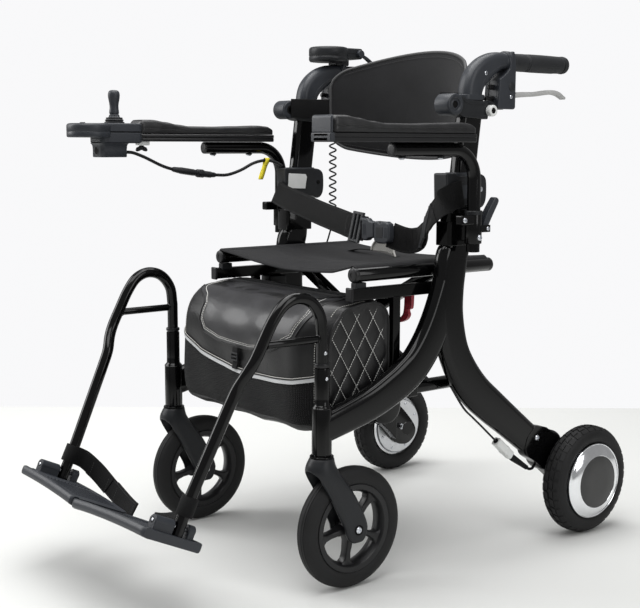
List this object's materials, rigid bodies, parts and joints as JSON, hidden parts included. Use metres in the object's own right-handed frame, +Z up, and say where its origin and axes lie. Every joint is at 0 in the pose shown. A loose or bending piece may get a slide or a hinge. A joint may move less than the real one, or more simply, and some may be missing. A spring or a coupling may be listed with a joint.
{
  "type": "electric walker",
  "caption": "Folding electric walker with a seat, armrests with a joystick, hub-motor rear wheels, swivel casters, push grips with brakes, and swing-away footrests.",
  "frame": {"origin": "on the floor, at the middle of the walker's footprint", "axes": "+Z up; +Y towards the push grips and the rear wheels; the footrests point to -Y; +X is the left side of a user who walks behind it"},
  "size_m": [0.61, 1.0028, 0.905],
  "materials": {
    "gloss_paint": "gloss black powder coat",
    "satin_black_plastic": "satin moulded plastic",
    "grey_plastic": "satin moulded plastic",
    "lever_grey": "satin light grey lever",
    "polished_hub": "polished motor housing",
    "tyre_rubber": "solid tyre rubber",
    "grip_rubber": "soft grip and cable rubber",
    "fabric": "matte black woven fabric and webbing",
    "pad_leather": "soft black armrest cover",
    "lock_red": "red moulded lever"
  },
  "bodies": {
    "left_frame": {"left_side_frame": "gloss_paint", "left_motor_bracket": "gloss_paint", "left_height_collar": "satin_black_plastic", "storage_bag": "fabric", "lap_belt_left": "fabric", "left_motor_cable": "grip_rubber"},
    "cross_arm_a": {"cross_arm_a": "gloss_paint", "seat_sling": "fabric"},
    "cross_arm_b": {"cross_arm_b": "gloss_paint"},
    "fold_lock": {"fold_lock_lever": "lock_red"},
    "right_frame": {"right_side_frame": "gloss_paint", "right_motor_bracket": "gloss_paint", "right_height_collar": "satin_black_plastic", "lap_belt_right": "fabric", "right_motor_cable": "grip_rubber", "handset_cord": "grip_rubber", "battery_pack": "satin_black_plastic"},
    "backrest": {"backrest_panel": "fabric"},
    "thumb_throttle": {"thumb_throttle": "grey_plastic"},
    "joystick_gimbal": {"joystick_gimbal": "satin_black_plastic"},
    "joystick_stick": {"joystick_stick": "grey_plastic"},
    "power_button": {"power_button": "satin_black_plastic"},
    "left_caster": {"left_caster_fork": "satin_black_plastic"},
    "left_caster_wheel": {"left_caster_wheel": "tyre_rubber"},
    "left_drive_wheel": {"left_motor_hub": "polished_hub", "left_rear_tyre": "tyre_rubber"},
    "left_handle": {"left_handle_post": "gloss_paint", "left_handle_elbow": "grey_plastic", "left_hand_grip": "grip_rubber", "left_brake_housing": "grey_plastic", "left_backrest_bracket": "satin_black_plastic"},
    "left_brake_lever": {"left_brake_lever": "lever_grey"},
    "left_armrest": {"left_armrest_tube": "gloss_paint", "left_armrest_base": "satin_black_plastic", "left_armrest_pad": "pad_leather"},
    "left_armrest_clamp": {"left_armrest_clamp_lever": "satin_black_plastic"},
    "left_footrest": {"left_footrest_hanger": "gloss_paint", "left_heel_strap": "fabric"},
    "left_footplate": {"left_footplate": "grey_plastic"},
    "right_caster": {"right_caster_fork": "satin_black_plastic"},
    "right_caster_wheel": {"right_caster_wheel": "tyre_rubber"},
    "right_drive_wheel": {"right_motor_hub": "polished_hub", "right_rear_tyre": "tyre_rubber"},
    "right_handle": {"right_handle_post": "gloss_paint", "right_handle_elbow": "grey_plastic", "right_hand_grip": "grip_rubber", "right_brake_housing": "grey_plastic", "right_backrest_bracket": "satin_black_plastic", "control_pod": "satin_black_plastic"},
    "right_brake_lever": {"right_brake_lever": "lever_grey"},
    "right_armrest": {"right_armrest_tube": "gloss_paint", "right_armrest_base": "satin_black_plastic", "right_armrest_pad": "pad_leather", "joystick_housing": "grey_plastic", "joystick_cable": "grip_rubber", "joystick_connector": "grip_rubber"},
    "right_armrest_clamp": {"right_armrest_clamp_lever": "satin_black_plastic"},
    "right_footrest": {"right_footrest_hanger": "gloss_paint", "right_heel_strap": "fabric"},
    "right_footplate": {"right_footplate": "grey_plastic"}
  },
  "joints": [
    {"name": "fold", "type": "hinge", "parent": "left_frame", "child": "cross_arm_a", "pos_m": [0.1965, 0.066, 0.305], "axis": [0, 1, 0], "range_deg": [0, 43.4], "deforming": ["seat_sling", "storage_bag", "lap_belt_left", "lap_belt_right"]},
    {"name": "fold_centre", "type": "hinge", "parent": "cross_arm_a", "child": "cross_arm_b", "pos_m": [0, 0.081, 0.405], "axis": [0, 1, 0], "range_deg": [-87, 0]},
    {"name": "fold_right_frame", "type": "hinge", "parent": "cross_arm_b", "child": "right_frame", "pos_m": [-0.1965, 0.096, 0.305], "axis": [0, 1, 0], "range_deg": [0, 44]},
    {"name": "fold_lock", "type": "hinge", "parent": "cross_arm_b", "child": "fold_lock", "pos_m": [0.105, 0.1095, 0.45844], "axis": [0, 1, 0], "range_deg": [0, 20], "stiffness_Nm_per_rad": 0.8},
    {"name": "left_caster_swivel", "type": "hinge", "parent": "left_frame", "child": "left_caster", "pos_m": [0.2265, -0.183, 0.2285], "axis": [0, 0, 1], "continuous": true},
    {"name": "left_caster_roll", "type": "hinge", "parent": "left_caster", "child": "left_caster_wheel", "pos_m": [0.2265, -0.127, 0.1], "axis": [1, 0, 0], "continuous": true},
    {"name": "left_drive", "type": "hinge", "parent": "left_frame", "child": "left_drive_wheel", "pos_m": [0.272, 0.4, 0.1], "axis": [1, 0, 0], "continuous": true},
    {"name": "left_handle_height", "type": "slide", "parent": "left_frame", "child": "left_handle", "axis": [0, 0.1293, 0.9916], "range_m": [-0.05, 0.07], "deforming": ["backrest_panel"]},
    {"name": "left_brake", "type": "hinge", "parent": "left_handle", "child": "left_brake_lever", "pos_m": [0.231, 0.207, 0.797], "axis": [1, 0, 0], "range_deg": [0, 11], "stiffness_Nm_per_rad": 1.5},
    {"name": "left_armrest_lift", "type": "slide", "parent": "left_frame", "child": "left_armrest", "axis": [0, 0, 1], "range_m": [0, 0.04]},
    {"name": "left_armrest_clamp", "type": "hinge", "parent": "left_frame", "child": "left_armrest_clamp", "pos_m": [0.272, 0.1175, 0.577], "axis": [1, 0, 0], "range_deg": [-90, 0]},
    {"name": "left_footrest_swing", "type": "hinge", "parent": "left_frame", "child": "left_footrest", "pos_m": [0.2265, -0.183, 0.368], "axis": [0, 0, 1], "range_deg": [0, 46]},
    {"name": "left_footplate_flip", "type": "hinge", "parent": "left_footrest", "child": "left_footplate", "pos_m": [0.1925, -0.425, 0.148], "axis": [0, 0.9026, -0.4305], "range_deg": [0, 90], "deforming": ["left_heel_strap"]},
    {"name": "right_caster_swivel", "type": "hinge", "parent": "right_frame", "child": "right_caster", "pos_m": [-0.2265, -0.183, 0.2285], "axis": [0, 0, 1], "continuous": true},
    {"name": "right_caster_roll", "type": "hinge", "parent": "right_caster", "child": "right_caster_wheel", "pos_m": [-0.2265, -0.127, 0.1], "axis": [1, 0, 0], "continuous": true},
    {"name": "right_drive", "type": "hinge", "parent": "right_frame", "child": "right_drive_wheel", "pos_m": [-0.272, 0.4, 0.1], "axis": [1, 0, 0], "continuous": true},
    {"name": "right_handle_height", "type": "slide", "parent": "right_frame", "child": "right_handle", "axis": [0, 0.1293, 0.9916], "range_m": [-0.05, 0.07], "deforming": ["handset_cord"]},
    {"name": "right_brake", "type": "hinge", "parent": "right_handle", "child": "right_brake_lever", "pos_m": [-0.231, 0.207, 0.797], "axis": [1, 0, 0], "range_deg": [0, 11], "stiffness_Nm_per_rad": 1.5},
    {"name": "right_armrest_lift", "type": "slide", "parent": "right_frame", "child": "right_armrest", "axis": [0, 0, 1], "range_m": [0, 0.04], "deforming": ["joystick_cable", "joystick_connector"]},
    {"name": "right_armrest_clamp", "type": "hinge", "parent": "right_frame", "child": "right_armrest_clamp", "pos_m": [-0.272, 0.1175, 0.577], "axis": [1, 0, 0], "range_deg": [-90, 0]},
    {"name": "right_footrest_swing", "type": "hinge", "parent": "right_frame", "child": "right_footrest", "pos_m": [-0.2265, -0.183, 0.368], "axis": [0, 0, 1], "range_deg": [-46, 0]},
    {"name": "right_footplate_flip", "type": "hinge", "parent": "right_footrest", "child": "right_footplate", "pos_m": [-0.1925, -0.425, 0.148], "axis": [0, -0.9026, 0.4305], "range_deg": [0, 90], "deforming": ["right_heel_strap"]},
    {"name": "backrest_tilt", "type": "hinge", "parent": "left_handle", "child": "backrest", "pos_m": [0, 0.078, 0.78], "axis": [1, 0, 0], "range_deg": [-20, 20]},
    {"name": "thumb_throttle", "type": "hinge", "parent": "right_handle", "child": "thumb_throttle", "pos_m": [-0.203, 0.246, 0.893], "axis": [1, 0, 0], "range_deg": [-20, 0], "stiffness_Nm_per_rad": 0.3},
    {"name": "joystick_pitch", "type": "hinge", "parent": "right_armrest", "child": "joystick_gimbal", "pos_m": [-0.2662, -0.275, 0.7515], "axis": [1, 0, 0], "range_deg": [-15, 15], "stiffness_Nm_per_rad": 0.3},
    {"name": "joystick_roll", "type": "hinge", "parent": "joystick_gimbal", "child": "joystick_stick", "pos_m": [-0.2662, -0.275, 0.7515], "axis": [0, 1, 0], "range_deg": [-15, 15], "stiffness_Nm_per_rad": 0.3},
    {"name": "power_press", "type": "slide", "parent": "right_armrest", "child": "power_button", "axis": [0, 0, -1], "range_m": [0, 0.001], "stiffness_N_per_m": 800}
  ],
  "couplings": [
    {"joint": "fold_centre", "follows": "fold", "ratio": -2},
    {"joint": "fold_right_frame", "follows": "fold", "ratio": 1},
    {"joint": "left_footrest_swing", "follows": "fold", "ratio": 1.04},
    {"joint": "right_footrest_swing", "follows": "fold", "ratio": -1.04},
    {"joint": "right_handle_height", "follows": "left_handle_height", "ratio": 1}
  ]
}
